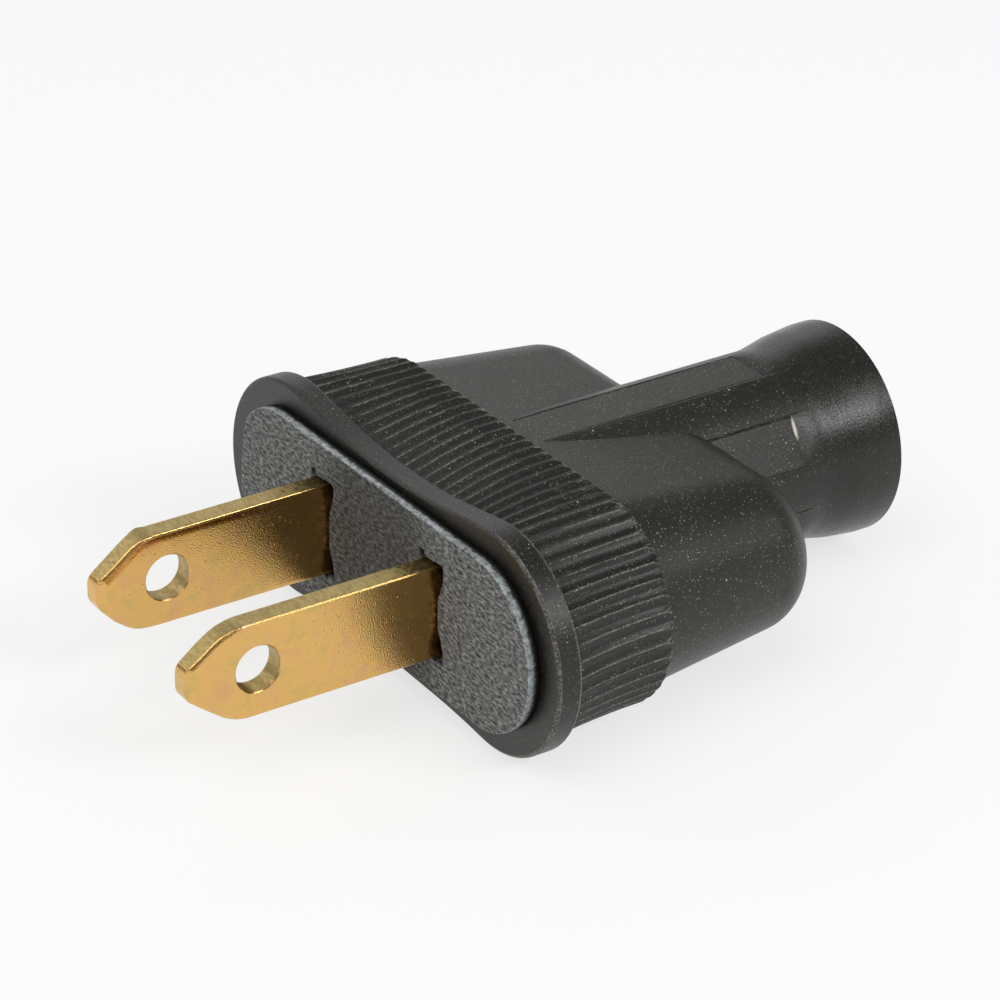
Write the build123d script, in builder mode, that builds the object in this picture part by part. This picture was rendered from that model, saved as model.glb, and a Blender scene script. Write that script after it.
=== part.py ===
from build123d import *
from math import atan2, cos, degrees, radians, sin
import os

# A two-blade rubber plug for rewiring a flexible cord: one rubber moulding with a ribbed grip
# band, two stamped blades with terminal screws on their feet, and a fibre disc over the face.
# Frame: origin on the mating face midway between the blades, blades towards -Y, cord end
# towards +Y, +Z up. All sizes are in millimetres.

# Contact blades, stamped from brass strip and bent outwards at the foot
blade_spacing = 12.7
blade_width = 6.35
blade_thickness = 1.5
blade_reach = 16.45
blade_stagger = 1.0
tip_taper = 3.1
tip_nose = 1.6
tip_bend_radius = 3.0
tip_nose_radius = 1.0
blade_hole_diameter = 3.1
blade_hole_from_tip = 4.9
foot_bend_radius = 0.6
foot_length = 7.4
tongue_width = 4.0
tongue_length = 2.6

# Fibre face disc with a slot for each blade
disc_width = 34.4
disc_height = 11.6
disc_thickness = 0.8
disc_seat_gap = 0.1
slot_side_clearance = 0.1
slot_end_clearance = 0.18
slot_corner_relief = 0.42
slot_corner_radius = 0.3

# Flange around the face, with a waisted outline
flange_width = 38.3
flange_height = 14.9
flange_waist = 13.2
flange_thickness = 1.7
flange_edge_radius = 0.25

# Ribbed grip band between the flange and the shoulders
band_length = 8.0
band_inset = 0.6
band_end_width = 35.7
band_end_height = 13.9
band_rise_at = 3.2
band_rise_share = 0.75
band_end_round = 0.8
band_seam = 0.1
rib_count = 84
rib_height = 0.25
rib_base_share = 0.64
rib_margin = 0.02

# Shoulders, neck and flared cord end
shoulder_width = 33.8
shoulder_height = 12.8
shoulder_length = 13.0
shoulder_draft = 1.35
shoulder_fillet = 3.5
neck_diameter = 13.1
neck_flat_to_flat = 12.65
neck_flat_count = 6
neck_round_length = 1.7
body_length = 36.35
flare_diameter = 14.5
flare_middle_diameter = 13.9
flare_length = 5.8
flare_rim = 1.0
flare_rim_radius = 0.35

# Wiring chamber behind the disc, and the cord bore into it
chamber_width = 29.0
chamber_height = 9.0
chamber_depth = 7.7
seat_depth = 0.3
seat_clearance = 0.1
cord_bore_diameter = 8.0
cord_mouth_diameter = 12.0
cord_mouth_depth = 5.0

# Terminal screws with a slotted binding head
screw_offset = 10.4
screw_diameter = 3.5
screw_length = 5.0
screw_head_diameter = 5.0
screw_head_height = 1.5
screw_head_round = 0.5
screw_slot_width = 0.9
screw_slot_depth = 0.8
screw_point = 0.4
thread_clearance = 0.05
screw_relief_clearance = 0.5
screw_relief_spare = 0.8

# Stations along the plug, measured from the mating face
flange_front = disc_thickness + disc_seat_gap
flange_back = flange_front + flange_thickness
band_back = flange_back + band_length
shoulder_back = band_back + shoulder_length
flare_start = body_length - flare_length
flat_end = flare_start - neck_round_length
chamber_floor = flange_front + chamber_depth
mouth_start = body_length - cord_mouth_depth

# Distances of the blade, its foot and its tongue from the middle plane
blade_inner = (blade_spacing - blade_thickness) / 2
blade_outer = blade_inner + blade_thickness
foot_end = blade_inner + foot_length
tongue_end = foot_end + tongue_length

# Direction along X, station of the blade's tip and station of its seat, for each side
sides = {
    "left": (-1, -blade_reach, chamber_floor + seat_depth + blade_stagger),
    "right": (1, -blade_reach - blade_stagger, chamber_floor + seat_depth),
}


def station(y, x=0):
    """Plane across the plug at a station, with X to the right and Z up, facing the blades."""
    return Plane(origin=(x, y, 0), x_dir=(1, 0, 0), z_dir=(0, -1, 0))


def draw_upper_half(width, height, waist):
    """Upper half of an outline with two round lobes, drawn from the +X end to the -X end."""
    lobe = height / 2
    lobe_x = width / 2 - lobe
    if waist < height:
        dip = waist / 2
        hollow = (lobe_x**2 + dip**2 - lobe**2) / (2 * (lobe - dip))
        turn = degrees(atan2(dip + hollow, -lobe_x))
    else:
        turn = 90
    right = CenterArc((lobe_x, 0), lobe, 0, turn)
    left = CenterArc((-lobe_x, 0), lobe, 180 - turn, turn)
    if waist < height:
        ThreePointArc(right @ 1, (0, dip), left @ 0)
    else:
        Line(right @ 1, left @ 0)


def rib_points(width, height, waist):
    """Points of a ribbed outline: a crest and the two valley corners after it, for each rib."""
    with BuildLine() as upper:
        draw_upper_half(width, height, waist)
    outline = upper.wire()
    points = []
    for rib in range(rib_count):
        for step, drop in ((0, 0), (rib_base_share / 2, rib_height), (1 - rib_base_share / 2, rib_height)):
            turn = 2 * (rib + step) / rib_count
            flip = 1 if turn <= 1 else -1
            along = outline.length * (turn if turn <= 1 else 2 - turn)
            point = outline.position_at(along, position_mode=PositionMode.LENGTH)
            tangent = outline.tangent_at(along, position_mode=PositionMode.LENGTH)
            points.append((point.X - drop * tangent.Y, flip * (point.Y + drop * tangent.X)))
    return points


# Rubber body, moulded in one piece
front_width = flange_width - 2 * band_inset
front_height = flange_height - 2 * band_inset
front_waist = flange_waist - 2 * band_inset
rise_width = front_width + (band_end_width - front_width) * band_rise_share
rise_height = front_height + (band_end_height - front_height) * band_rise_share
rise_waist = front_waist + (band_end_height - front_waist) * band_rise_share
band_sections = (
    (flange_back, front_width, front_height, front_waist),
    (flange_back + band_rise_at, rise_width, rise_height, rise_waist),
    (band_back, band_end_width, band_end_height, band_end_height),
)
band_narrowing = (band_end_width - shoulder_width) / 2 + band_seam
band_lowering = (band_end_height - shoulder_height) / 2 + band_seam

with BuildPart() as body:
    # Grip band, its ribs rising out of the waist and running out in a rounded end
    for y, width, height, waist in band_sections:
        with BuildSketch(station(y)):
            with BuildLine():
                Polyline(*rib_points(width, height, waist), close=True)
            make_face()
    loft()
    with BuildSketch(station(flange_back)):
        SlotOverall(front_width + 2 * rib_margin, front_height + 2 * rib_margin)
    for angle in (0, 35, 65, 90):
        fall = 1 - cos(radians(angle))
        with BuildSketch(station(band_back - band_end_round * (1 - sin(radians(angle))))):
            SlotOverall(
                band_end_width + 2 * rib_margin - 2 * (band_narrowing + rib_margin) * fall,
                band_end_height + 2 * rib_margin - 2 * (band_lowering + rib_margin) * fall,
            )
    loft(ruled=True, mode=Mode.INTERSECT)

    # Flange with softened rims
    with BuildSketch(station(flange_front)):
        with BuildLine():
            draw_upper_half(flange_width, flange_height, flange_waist)
            mirror(about=Plane.XZ)
        make_face()
    extrude(amount=-flange_thickness)
    rims = body.faces().sort_by(Axis.Y)[0].edges()
    rims += body.faces().filter_by(Axis.Y).sort_by(Axis.Y)[1].outer_wire().edges()
    fillet(rims, flange_edge_radius)

    # Shoulders, drafted towards the cord end and well rounded at the back
    for y, shrink in ((band_back, 0), (shoulder_back, shoulder_draft)):
        with BuildSketch(station(y)):
            SlotOverall(shoulder_width - 2 * shrink, shoulder_height - 2 * shrink)
    loft()
    fillet(body.faces().filter_by(Axis.Y).sort_by(Axis.Y)[-1].edges(), shoulder_fillet)

    # Neck with flats that stop short of the flare around the cord's mouth
    with BuildSketch(station(band_back)):
        Circle(neck_diameter / 2)
        RegularPolygon(
            neck_flat_to_flat / 2, neck_flat_count, major_radius=False, rotation=60, mode=Mode.INTERSECT
        )
    extrude(amount=band_back - flat_end)
    with BuildSketch(Plane.XY):
        with BuildLine():
            flare = Spline(
                (neck_diameter / 2, flare_start),
                (flare_middle_diameter / 2, body_length - flare_rim - (flare_length - flare_rim) / 2),
                (flare_diameter / 2, body_length - flare_rim),
                tangents=((0, 1), (flare_diameter - neck_diameter, 2 * flare_length)),
            )
            Polyline(
                flare @ 1,
                (flare_diameter / 2, body_length),
                (0, body_length),
                (0, flat_end),
                (neck_diameter / 2, flat_end),
                flare @ 0,
            )
        make_face()
    revolve(axis=Axis.Y)
    fillet(body.faces().filter_by(Axis.Y).sort_by(Axis.Y)[-1].edges(), flare_rim_radius)

    # Wiring chamber, open at the face, and the cord bore with its tapered mouth
    with BuildSketch(station(flange_front)):
        SlotOverall(chamber_width, chamber_height)
    extrude(amount=-chamber_depth, mode=Mode.SUBTRACT)
    with BuildSketch(Plane.XY):
        with BuildLine():
            Polyline(
                (0, chamber_floor),
                (cord_bore_diameter / 2, chamber_floor),
                (cord_bore_diameter / 2, mouth_start),
                (cord_mouth_diameter / 2, body_length),
                (0, body_length),
                close=True,
            )
        make_face()
    revolve(axis=Axis.Y, mode=Mode.SUBTRACT)

    # Pocket for each blade's foot, slot in the wall for its tongue, and relief for its screw
    for way, tip, seat in sides.values():
        with BuildSketch(station(seat, way * (blade_inner + foot_length / 2))):
            Rectangle(foot_length + 2 * seat_clearance, blade_width + 2 * seat_clearance)
        extrude(amount=seat - chamber_floor, mode=Mode.SUBTRACT)
        with BuildSketch(station(seat, way * (foot_end + tongue_length / 2))):
            Rectangle(tongue_length + 2 * seat_clearance, tongue_width + 2 * seat_clearance)
        extrude(amount=blade_thickness + seat_clearance, mode=Mode.SUBTRACT)
        with BuildSketch(station(seat, way * screw_offset)):
            Circle(screw_diameter / 2 + screw_relief_clearance)
        extrude(amount=blade_thickness - screw_length - screw_relief_spare, mode=Mode.SUBTRACT)

# Fibre disc over the chamber, its slots bowed in to grip the blades and relieved at the corners
with BuildPart() as face_disc:
    with BuildSketch(station(disc_thickness)):
        SlotOverall(disc_width, disc_height)
    extrude(amount=disc_thickness)
    side_x = blade_thickness / 2 + slot_side_clearance
    end_z = blade_width / 2 + slot_end_clearance
    corner_x = side_x + slot_corner_relief
    corner_z = end_z + slot_corner_relief
    for way, tip, seat in sides.values():
        with BuildSketch(station(disc_thickness, way * blade_spacing / 2)) as slot:
            with BuildLine():
                ThreePointArc((corner_x, -corner_z), (side_x, 0), (corner_x, corner_z))
                ThreePointArc((corner_x, corner_z), (0, end_z), (-corner_x, corner_z))
                ThreePointArc((-corner_x, corner_z), (-side_x, 0), (-corner_x, -corner_z))
                ThreePointArc((-corner_x, -corner_z), (0, -end_z), (corner_x, -corner_z))
            make_face()
            fillet(slot.vertices(), slot_corner_radius)
        extrude(amount=disc_thickness, mode=Mode.SUBTRACT)

os.makedirs("parts", exist_ok=True)
body.part.label = "body"
export_step(body.part, "parts/body.step")
face_disc.part.label = "face_disc"
export_step(face_disc.part, "parts/face_disc.step")

# Brass blades: bent strip, cut to its tapered tip and to the foot with its tongue
for side, (way, tip, seat) in sides.items():
    with BuildPart() as blade:
        with BuildSketch(Plane.XY) as strip:
            with BuildLine():
                Polyline(
                    (way * blade_inner, tip),
                    (way * blade_outer, tip),
                    (way * blade_outer, seat - blade_thickness),
                    (way * tongue_end, seat - blade_thickness),
                    (way * tongue_end, seat),
                    (way * blade_inner, seat),
                    close=True,
                )
            make_face()
            bends = strip.vertices().sort_by_distance((way * blade_outer, seat - blade_thickness))
            fillet(bends[0], foot_bend_radius)
            bends = strip.vertices().sort_by_distance((way * blade_inner, seat))
            fillet(bends[0], foot_bend_radius + blade_thickness)
        extrude(amount=blade_width / 2, both=True)
        with BuildSketch(Plane.YZ) as profile:
            with BuildLine():
                Polyline(
                    (tip, tip_nose / 2),
                    (tip + tip_taper, blade_width / 2),
                    (seat, blade_width / 2),
                    (seat, -blade_width / 2),
                    (tip + tip_taper, -blade_width / 2),
                    (tip, -tip_nose / 2),
                    close=True,
                )
            make_face()
            fillet(profile.vertices().group_by(Axis.X)[1], tip_bend_radius)
            fillet(profile.vertices().group_by(Axis.X)[0], tip_nose_radius)
            with Locations((tip + blade_hole_from_tip, 0)):
                Circle(blade_hole_diameter / 2, mode=Mode.SUBTRACT)
        extrude(amount=way * tongue_end, mode=Mode.INTERSECT)
        with BuildSketch(station(seat)):
            with Locations((way * (blade_inner + foot_length / 2), 0)):
                Rectangle(foot_length, blade_width)
            with Locations((way * (foot_end + tongue_length / 2), 0)):
                Rectangle(tongue_length, tongue_width)
            with Locations((way * screw_offset, 0)):
                Circle(screw_diameter / 2 + thread_clearance, mode=Mode.SUBTRACT)
        extrude(amount=seat - tip, mode=Mode.INTERSECT)
    blade.part.label = f"blade_{side}"
    export_step(blade.part, f"parts/blade_{side}.step")

# Terminal screws, their heads bearing on the feet of the blades
for side, (way, tip, seat) in sides.items():
    with BuildPart() as screw:
        with BuildSketch(station(seat - blade_thickness, way * screw_offset)):
            Circle(screw_head_diameter / 2)
        extrude(amount=screw_head_height)
        fillet(screw.faces().sort_by(Axis.Y)[0].edges(), screw_head_round)
        with BuildSketch(station(seat - blade_thickness - screw_head_height, way * screw_offset)):
            Rectangle(screw_head_diameter, screw_slot_width)
        extrude(amount=-screw_slot_depth, mode=Mode.SUBTRACT)
        with BuildSketch(station(seat - blade_thickness, way * screw_offset)):
            Circle(screw_diameter / 2)
        extrude(amount=-screw_length)
        chamfer(screw.faces().sort_by(Axis.Y)[-1].edges(), screw_point)
    screw.part.label = f"terminal_screw_{side}"
    export_step(screw.part, f"parts/terminal_screw_{side}.step")
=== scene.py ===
"""Rubber cord plug with two brass blades: finishes, soft edges and a studio round the solids."""

import math

import bmesh
import bpy
from bpy.props import FloatProperty, FloatVectorProperty, PointerProperty
from mathutils import Matrix, Vector, noise


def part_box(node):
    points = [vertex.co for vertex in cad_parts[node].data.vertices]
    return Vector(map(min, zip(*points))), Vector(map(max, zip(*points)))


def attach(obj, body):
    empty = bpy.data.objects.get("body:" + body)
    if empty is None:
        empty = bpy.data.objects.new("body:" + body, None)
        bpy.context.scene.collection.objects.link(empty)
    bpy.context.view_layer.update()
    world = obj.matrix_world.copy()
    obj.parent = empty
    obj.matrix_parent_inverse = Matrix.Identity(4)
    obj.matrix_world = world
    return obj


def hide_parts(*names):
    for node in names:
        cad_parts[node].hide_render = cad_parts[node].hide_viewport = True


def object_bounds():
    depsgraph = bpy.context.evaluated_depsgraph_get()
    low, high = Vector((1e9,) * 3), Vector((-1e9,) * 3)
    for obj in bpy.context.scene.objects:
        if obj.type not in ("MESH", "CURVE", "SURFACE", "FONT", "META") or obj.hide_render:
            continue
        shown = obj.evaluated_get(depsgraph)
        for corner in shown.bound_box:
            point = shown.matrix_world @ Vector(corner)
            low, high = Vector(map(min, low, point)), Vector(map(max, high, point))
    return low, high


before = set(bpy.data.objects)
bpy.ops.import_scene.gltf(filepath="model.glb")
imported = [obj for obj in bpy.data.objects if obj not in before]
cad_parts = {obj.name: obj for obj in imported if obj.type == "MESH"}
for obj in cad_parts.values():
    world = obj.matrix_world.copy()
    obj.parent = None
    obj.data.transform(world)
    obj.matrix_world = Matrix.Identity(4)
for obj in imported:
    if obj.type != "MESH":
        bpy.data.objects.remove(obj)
CAD_BOX = [list(corner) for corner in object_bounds()]

bl_info = {
    "name": "Rubber cord plug",
    "version": (1, 0, 0),
    "blender": (4, 5, 0),
    "location": "3D View > Sidebar > Plug",
    "description": "Rubber body, fibre disc, brass blades and studio of a cord plug",
    "category": "Object",
}

# Pieces are shaped in millimetres and brought to metres when they are finished.
MM = 0.001
# Points of a solid this close are joined, and so are faces folded less than this; edges folded
# more than the last of these stay sharp.
JOIN_GAP = 0.002
FLAT_FOLD = math.radians(0.3)
SHARP_FOLD = math.radians(40)
# How close in millimetres counts as on a line of the body, before and after its edges are rounded,
# what is no step at all, and how far counts as clear of a line.
NEAR = 0.05
ON_LINE = 0.02
LEVEL = 0.01
CLEAR = 0.2

# Places along the plug in millimetres, from the solids: the two ends of the ribbed band, the
# end of the shoulders, and the flare that the cord enters, with the radius and the rounding of
# its rim.
BAND_START = 2.6
BAND_END = 10.6
SHOULDER_END = 23.6
FLARE_START = 30.55
FLARE_END = 36.35
FLARE_RADIUS = 7.25
RIM_ROUND = 0.35
# Beyond these distances from the middle, the band's surface is its outside and not its chamber.
OUTSIDE_X = 15.0
OUTSIDE_Z = 5.2
# Least folds in degrees: of a rib's crest, of an edge of the neck's flats and of a blade's edge.
CREST_FOLD = 40
FLAT_EDGE_FOLD = 5
BLADE_FOLD = 48
# The flange's sag fades out between these distances from the middle, and ends before the ribs do.
SAG_FADE = (2.0, 11.0)
SAG_END = BAND_END - 2.0
# Edges are rubbed between these bends, as one over the radius in millimetres. The flange's rim is
# rubbed by the first share, and by the second more towards its near end, between these places.
RUBBED_BEND = (1.0, 4.0)
RIM_RUBBED = 0.84
RIM_RUBBED_MORE = 0.12
RIM_NEAR_END = (8.0, 15.0)
# The neck is round with six flats, which lie this far from its middle and stop short of the flare.
NECK_RADIUS = 6.55
FLAT_REACH = 6.325
FLAT_END = 28.85
FLAT_STEP = math.radians(60)
FLAT_HALF = math.acos(FLAT_REACH / NECK_RADIUS)
# The blades stand this far each side of the middle, in slots that reach this far beyond that.
BLADE_MIDDLE = 6.35
SLOT_EDGE = 0.85
RELIEF_HEIGHT = 3.52
HOLE_FROM_TIP = 4.9
BLADE_THICKNESS = 1.5

# The disc in millimetres. Its edge is torn over this width and to this depth, this share of it on
# average, with coarse and fine tears to the millimetre.
TORN_WIDTH = 0.25
TORN_DEPTH = 0.06
TORN_SHARE = 0.6
COARSE_TEARS = 7.0
FINE_TEARS = 19.0
# The pale fringe is whole this far in from the outline. Depths behind the face between which it
# ends and the painted shade of the edge begins, and how far that painted shade and the painted
# shade in a relief reach.
FRINGE_START = 0.02
FRINGE_END = (0.3, 0.65)
EDGE_SHADE_START = (0.38, 0.6)
EDGE_SHADE_REACH = (0.15, 0.4)
RELIEF_SHADE = (0.22, 0.3)
# A relief's wall lies between these distances from its middle, and points this close to the
# face sink.
RELIEF_WALL = (0.14, 0.26)
RELIEF_DEPTH = 0.3
# The painted shade on the strip between the blades fades out between these distances from the
# middle.
BLADE_SHADE_FADE = (3.0, 8.0)
# The left end is cut short most at this height, less over this spread and by this share all
# round, growing between these distances from the middle.
END_HEIGHT = 0.6
END_SPREAD = 2.6
END_SHARE = 0.15
END_START = (11.0, 17.0)
# A slot gapes over this width of board, from this far behind its edge. It opens between the first
# two heights and closes between the last two.
SLOT_BEHIND = 0.3
SLOT_WIDTH = 1.2
GAPE_HEIGHT = (0.8, 2.6)
GAPE_END = (3.3, 4.0)
# Two sizes of fraying along the slots: depth in millimetres, frays to the millimetre.
FRAYS = ((0.06, 3.0), (0.04, 8.0))

# The blades in millimetres, from the tip. The bulge of each tip's taper is shaped on points that
# are cut at these distances, above a line that leaves the nose here and rises to a limit.
TIP_CUTS = (1.2, 1.6, 2.0)
TAPER_LENGTH = 4.2
TAPER_FOOT = 0.25
TAPER_SLOPE = 0.7
TAPER_TOP = 2.8
# Two bands round the swaged tip: width, share of the whole drop. The slope and the nose's own
# drop end between these distances, and the slope stays clear of the hole.
TIP_BANDS = ((0.3, 1.0), (0.35, 0.25))
SLOPE_FADE = (2.4, 4.6)
NOSE_FADE = (0.1, 0.8)
HOLE_CLEAR = 2.3
# The blade's straight part and the edges to round end this far behind the mating face.
BLADE_SHOWN = 5.0
EDGES_END = 7.0
# The burr on the far tip, and the heights above which burr and rolled edge lie.
BURR_FROM_TIP = 3.4
BURR_WIDTH = 0.45
BURR_ABOVE = 2.6
ROLLED_ABOVE = 2.0
# One taper of each tip is full, the near blade's upper one and the far blade's lower one. For
# each: blade's middle, up or down, its setting, share at the nose, where the bulge fades out.
TAPERS = {
    "left": (-BLADE_MIDDLE, -1, "far_full", 0.2, (1.8, 4.2)),
    "right": (BLADE_MIDDLE, 1, "near_full", 1.0, (1.4, 3.4)),
}
# How a face has to turn to be rolled, punched or part of the nose, and how deep the nose is.
ROLLED_FACING = 0.99
PUNCHED_FACING = 0.35
NOSE_FACING = 0.75
NOSE_DEPTH = 0.3

# The view of the plug: angles in degrees, distance and offsets in millimetres.
VIEW_AZIMUTH = 55.898
VIEW_ELEVATION = 27.858
VIEW_ROLL = 0.695
VIEW_DISTANCE = 240.58
VIEW_RIGHT = 7.866
VIEW_UP = 4.108
VIEW_LENS = 138.69
VIEW_SENSOR = 36.0
FLOOR_SIZE = 30.0


def linear(code):
    """Linear red, green and blue of an sRGB hex colour."""
    shares = [int(code[i : i + 2], 16) / 255 for i in (1, 3, 5)]
    return tuple(s / 12.92 if s <= 0.04045 else ((s + 0.055) / 1.055) ** 2.4 for s in shares)


def per_mm(size):
    """Texture scale at which one feature of a pattern is this many millimetres."""
    return 1 / (size * MM)


def smooth_step(value, low, high):
    """0 below low, 1 above high, and an even rise between them."""
    share = min(max((value - low) / (high - low), 0.0), 1.0)
    return share * share * (3 - 2 * share)


def add_node(tree, kind, values=None, links=None, stops=(), **settings):
    """Adds one shader node of a kind with its settings, socket values, links from other nodes'
    outputs and, for a colour ramp, stops in place of its own two."""
    node = tree.nodes.new(f"ShaderNode{kind}")
    for at, colour in stops:
        node.color_ramp.elements.new(at).color = (*colour, 1)
    if stops:
        for first_or_last in (0, -1):
            node.color_ramp.elements.remove(node.color_ramp.elements[first_or_last])
    for name, value in settings.items():
        setattr(node, name, value)
    for socket, value in (values or {}).items():
        node.inputs[socket].default_value = value
    for socket, source in (links or {}).items():
        tree.links.new(source, node.inputs[socket])
    return node


def empty_material(name):
    """A material with an empty node tree, and that tree."""
    material = bpy.data.materials.new(name)
    material.use_nodes = True
    material.node_tree.nodes.clear()
    return material, material.node_tree


def new_material(name):
    """A material, its node tree, its surface shader and its Object coordinates."""
    material, tree = empty_material(name)
    shader = add_node(tree, "BsdfPrincipled")
    add_node(tree, "OutputMaterial", links={"Surface": shader.outputs["BSDF"]})
    place = add_node(tree, "TexCoord").outputs["Object"]
    return material, tree, shader, place


def moulded_rubber(settings):
    """Black natural rubber, moulded: a satin skin dulled by talc on the shoulders, with fine pale
    specks of it all over, paler lines where crests and rims are rubbed, and a scuffed flare."""
    material, tree, shader, place = new_material("moulded_black_rubber")
    parts = add_node(tree, "SeparateXYZ", links={0: place})
    along = parts.outputs["Y"]
    crest = add_node(tree, "Attribute", attribute_name="crest").outputs["Fac"]

    # Slow shade changes a few millimetres across, from uneven release talc.
    cloud = add_node(
        tree, "TexNoise",
        {"Scale": per_mm(4.0), "Detail": 3.0, "Roughness": 0.6}, {"Vector": place},
    ).outputs["Fac"]
    # The moulded skin's own grain, 0.14 mm.
    grain = add_node(
        tree, "TexNoise",
        {"Scale": per_mm(0.14), "Detail": 3.0, "Roughness": 0.7}, {"Vector": place},
    ).outputs["Fac"]
    on_flare = add_node(
        tree, "MapRange",
        {"From Min": (FLARE_START - 1.5) * MM, "From Max": (FLARE_START + 1.5) * MM},
        {"Value": along},
    ).outputs[0]
    # Talc haze lies on the shoulders and thins out along the neck.
    past_band = add_node(
        tree, "MapRange",
        {"From Min": (BAND_END - CLEAR) * MM, "From Max": (BAND_END + CLEAR) * MM},
        {"Value": along},
    ).outputs[0]
    haze = add_node(
        tree, "MapRange",
        {
            "From Min": (SHOULDER_END - 2) * MM, "From Max": FLARE_START * MM,
            "To Min": 1.0, "To Max": 0.25,
        },
        {"Value": along},
    ).outputs[0]
    for share in (past_band, cloud):
        haze = add_node(tree, "Math", links={0: haze, 1: share}, operation="MULTIPLY").outputs[0]

    # Scuffs run round the flare: 0.12 mm wide along the plug, several millimetres long round it.
    turned = add_node(
        tree, "Mapping", {"Scale": (per_mm(2.2), per_mm(0.12), per_mm(2.2))}, {"Vector": place}
    )
    scuff = add_node(
        tree, "TexNoise",
        {"Scale": 1.0, "Detail": 2.0, "Roughness": 0.7}, {"Vector": turned.outputs[0]},
    ).outputs["Fac"]
    scuffed = add_node(
        tree, "Math", links={0: scuff, 1: on_flare}, operation="MULTIPLY"
    ).outputs[0]

    # Talc specks in three sizes, uneven in outline: some cells of each size hold a speck, each
    # as bright as chance makes it.
    wobble = add_node(
        tree, "TexNoise", {"Scale": per_mm(0.07), "Detail": 1.0}, {"Vector": place}
    ).outputs["Color"]
    uneven = add_node(
        tree, "VectorMath", {1: (0.06 * MM,) * 3}, {0: wobble, 2: place}, operation="MULTIPLY_ADD"
    ).outputs[0]
    specks = None
    for spacing, radius, kept in ((0.13, 0.04, 0.0), (0.26, 0.054, 0.2), (0.7, 0.075, 0.4)):
        cells = add_node(tree, "TexVoronoi", {"Scale": per_mm(spacing)}, {"Vector": uneven})
        chance = add_node(tree, "SeparateColor", links={0: cells.outputs["Color"]})
        held = add_node(
            tree, "MapRange",
            {"From Min": kept, "From Max": 1.0, "To Max": radius / spacing},
            {"Value": chance.outputs["Red"]},
        ).outputs[0]
        inside = add_node(
            tree, "Math", links={0: held, 1: cells.outputs["Distance"]}, operation="SUBTRACT"
        ).outputs[0]
        speck = add_node(
            tree, "MapRange",
            {"From Min": 0.0, "From Max": 0.25 * radius / spacing}, {"Value": inside},
        ).outputs[0]
        bright = add_node(
            tree, "Math", {2: 0.18},
            {0: chance.outputs["Blue"], 1: chance.outputs["Green"]}, operation="MULTIPLY_ADD",
        ).outputs[0]
        speck = add_node(
            tree, "Math", links={0: speck, 1: bright}, operation="MULTIPLY"
        ).outputs[0]
        specks = speck if specks is None else add_node(
            tree, "Math", links={0: specks, 1: speck}, operation="MAXIMUM"
        ).outputs[0]
    bare = add_node(
        tree, "MapRange", {"To Min": 1.0, "To Max": 0.3}, {"Value": on_flare}
    ).outputs[0]
    thin = add_node(
        tree, "MapRange",
        {"From Min": 0.32, "From Max": 0.6, "To Min": 0.45, "To Max": 1.0}, {"Value": cloud},
    ).outputs[0]
    talc = specks
    for share in (bare, thin):
        talc = add_node(tree, "Math", links={0: talc, 1: share}, operation="MULTIPLY").outputs[0]
    # More of it is caught along the edges of the neck's flats, found by the turn round the neck.
    turn = add_node(
        tree, "Math", links={0: parts.outputs["Z"], 1: parts.outputs["X"]}, operation="ARCTAN2"
    ).outputs[0]
    from_round = add_node(
        tree, "Math", {1: FLAT_STEP / 2}, {0: turn}, operation="PINGPONG"
    ).outputs[0]
    from_edge = add_node(
        tree, "Math", {1: FLAT_STEP / 2 - FLAT_HALF}, {0: from_round}, operation="SUBTRACT"
    ).outputs[0]
    from_edge = add_node(tree, "Math", links={0: from_edge}, operation="ABSOLUTE").outputs[0]
    seam = add_node(
        tree, "MapRange",
        {
            "From Min": 0.03 / NECK_RADIUS, "From Max": 0.12 / NECK_RADIUS,
            "To Min": 1.0, "To Max": 0.0,
        },
        {"Value": from_edge},
    ).outputs[0]
    across = add_node(
        tree, "VectorMath", {1: (1.0, 0.0, 1.0)}, {0: place}, operation="MULTIPLY"
    ).outputs["Vector"]
    reach = add_node(tree, "VectorMath", links={0: across}, operation="LENGTH").outputs["Value"]
    on_neck = add_node(
        tree, "Math", {1: NECK_RADIUS * MM, 2: 0.06 * MM}, {0: reach}, operation="COMPARE"
    ).outputs[0]
    before_end = add_node(
        tree, "MapRange",
        {
            "From Min": (FLAT_END - 0.4) * MM, "From Max": FLAT_END * MM,
            "To Min": 1.0, "To Max": 0.0,
        },
        {"Value": along},
    ).outputs[0]
    caught = add_node(
        tree, "MapRange", {"From Min": 0.54, "From Max": 0.72, "To Max": 0.4}, {"Value": grain}
    ).outputs[0]
    for share in (seam, on_neck, past_band, before_end):
        caught = add_node(
            tree, "Math", links={0: caught, 1: share}, operation="MULTIPLY"
        ).outputs[0]
    # A painted glint, drawn as a pale mark, lies across the end of the upper near flat, 1.9 mm
    # long and 0.3 mm wide.
    glint_turn = math.radians(38)
    glint_place = Vector((math.cos(glint_turn), 0.0, math.sin(glint_turn))) * FLAT_REACH
    glint_place.y = FLAT_END + 0.1
    to_glint = add_node(
        tree, "Mapping",
        {
            "Location": glint_place * MM, "Rotation": (0.0, -glint_turn, 0.0),
            "Scale": (0.4 * MM, 0.14 * MM, 0.95 * MM),
        },
        {"Vector": place}, vector_type="TEXTURE",
    ).outputs[0]
    from_glint = add_node(
        tree, "VectorMath", links={0: to_glint}, operation="LENGTH"
    ).outputs["Value"]
    painted_glint = add_node(
        tree, "MapRange",
        {"From Min": 0.5, "From Max": 1.0, "To Min": 1.0, "To Max": 0.0}, {"Value": from_glint},
    ).outputs[0]
    # The painted glint is laid in with the talc, so from here on the talc mask holds both.
    for pale in (caught, painted_glint):
        talc = add_node(tree, "Math", links={0: talc, 1: pale}, operation="MAXIMUM").outputs[0]

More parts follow.
